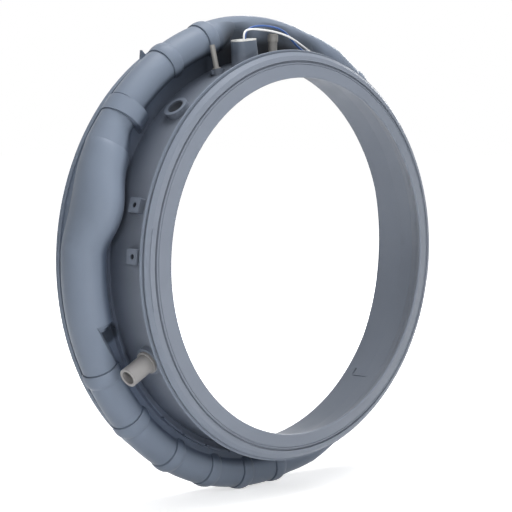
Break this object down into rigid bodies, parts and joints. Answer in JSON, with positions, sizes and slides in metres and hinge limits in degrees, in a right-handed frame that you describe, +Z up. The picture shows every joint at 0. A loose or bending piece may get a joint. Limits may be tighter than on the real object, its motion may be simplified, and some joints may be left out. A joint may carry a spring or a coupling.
{
  "type": "washing machine door seal",
  "caption": "Round rubber bellows seal between a washing machine's door opening and its tub, with a hose spigot, inlet nozzles and a drum lamp.",
  "frame": {"origin": "centre of the rear face, where the skirt grips the tub collar", "axes": "+Y along the seal's axis towards the tub, -Y towards the door, +Z up as fitted, +X to the right seen from the door"},
  "size_m": [0.4344, 0.0925, 0.4325],
  "materials": {
    "seal_rubber": "matte moulded rubber",
    "grey_plastic": "matte",
    "beige_plastic": "matte",
    "white_plastic": "satin",
    "clear_lens": "frosted",
    "board_green": "solder mask",
    "led_white": "gloss",
    "wire_white": "satin",
    "wire_blue": "satin"
  },
  "bodies": {
    "root": {"seal_body": "seal_rubber", "hose_spigot": "grey_plastic", "inlet_nozzle": "beige_plastic", "spray_nozzle": "beige_plastic", "lamp_housing": "white_plastic", "lamp_lens": "clear_lens", "lamp_board": "board_green", "lamp_led": "led_white", "white_wire": "wire_white", "blue_wire": "wire_blue", "lamp_plug": "white_plastic"}
  },
  "joints": []
}
